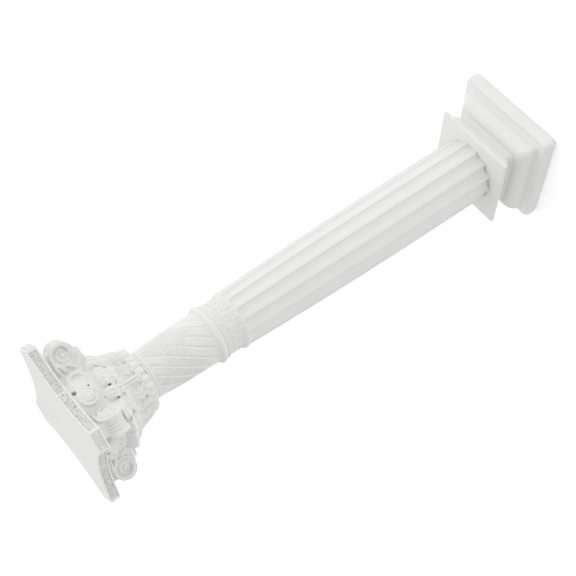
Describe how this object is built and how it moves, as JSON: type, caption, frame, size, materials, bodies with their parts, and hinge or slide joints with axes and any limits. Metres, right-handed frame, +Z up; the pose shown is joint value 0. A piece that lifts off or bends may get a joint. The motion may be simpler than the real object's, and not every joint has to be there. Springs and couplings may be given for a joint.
{
  "type": "decorative column",
  "caption": "Tabletop column with a moulded square base, fluted shaft, spirally carved neck and leafy capital with corner volutes.",
  "frame": {"origin": "middle of the underside of the base", "axes": "+Z up along the column, +X and +Y square to the sides of the base"},
  "size_m": [0.1002, 0.1002, 0.42],
  "materials": {
    "plaster": "matt white cast plaster"
  },
  "bodies": {
    "root": {"base": "plaster", "shaft": "plaster", "capital": "plaster"}
  },
  "joints": []
}
